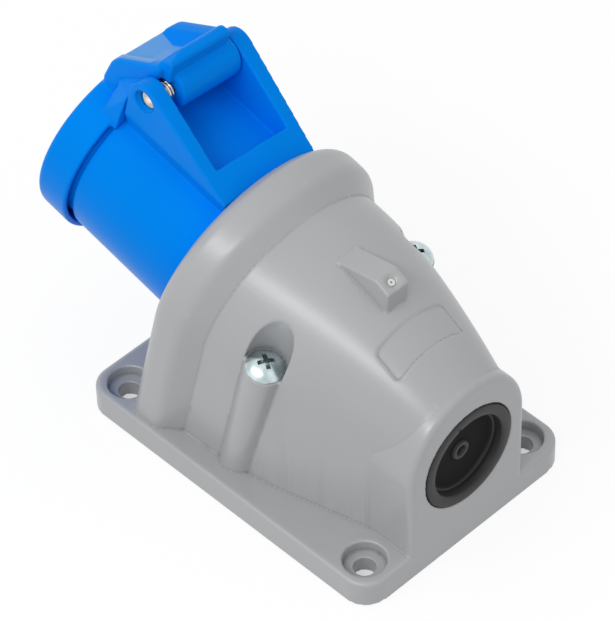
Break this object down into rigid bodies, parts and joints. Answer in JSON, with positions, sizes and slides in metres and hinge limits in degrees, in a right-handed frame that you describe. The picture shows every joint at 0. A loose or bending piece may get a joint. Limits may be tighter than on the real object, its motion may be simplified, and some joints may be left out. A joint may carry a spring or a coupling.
{
  "type": "industrial wall socket",
  "caption": "Angled surface-mounted industrial socket: grey housing on a drilled flange, blue round socket under a sprung hinged lid, cable grommet at the other end.",
  "frame": {"origin": "centre of the fixing hole pattern, on the wall face of the flange", "axes": "+Z out of the wall, +X from the lid towards the cable entry, +Y along the width of the flange"},
  "size_m": [0.1327, 0.0732, 0.1027],
  "materials": {
    "grey_moulding": "satin",
    "blue_moulding": "satin",
    "black_rubber": "matte",
    "bright_steel": "bright",
    "zinc_steel": "zinc plated",
    "contact_brass": "bright",
    "dark_insulator": "matte",
    "pale_insulator": "matte"
  },
  "bodies": {
    "base": {"housing": "grey_moulding", "socket_shell": "blue_moulding", "collar_gasket": "black_rubber", "hinge_pin": "bright_steel", "lid_spring": "bright_steel", "contact_carrier": "dark_insulator", "carrier_retainer": "pale_insulator", "carrier_screws": "bright_steel", "contact_line": "contact_brass", "contact_neutral": "contact_brass", "contact_earth": "contact_brass", "contact_rings": "bright_steel", "terminal_clamps": "bright_steel", "terminal_screws": "bright_steel", "fixing_screw_left": "zinc_steel", "fixing_screw_right": "zinc_steel", "fixing_inserts": "contact_brass", "cable_grommet": "black_rubber", "drain_plug": "pale_insulator"},
    "lid_body": {"lid": "blue_moulding", "lid_gasket": "black_rubber"}
  },
  "joints": [
    {"name": "lid_hinge", "type": "hinge", "parent": "base", "child": "lid_body", "pos_m": [-0.04853, 0.00384, 0.09156], "axis": [-0.0253, 0.9945, -0.1014], "range_deg": [0, 110], "stiffness_Nm_per_rad": 0.03, "springref_deg": -28.65, "deforming": ["lid_spring"]}
  ]
}
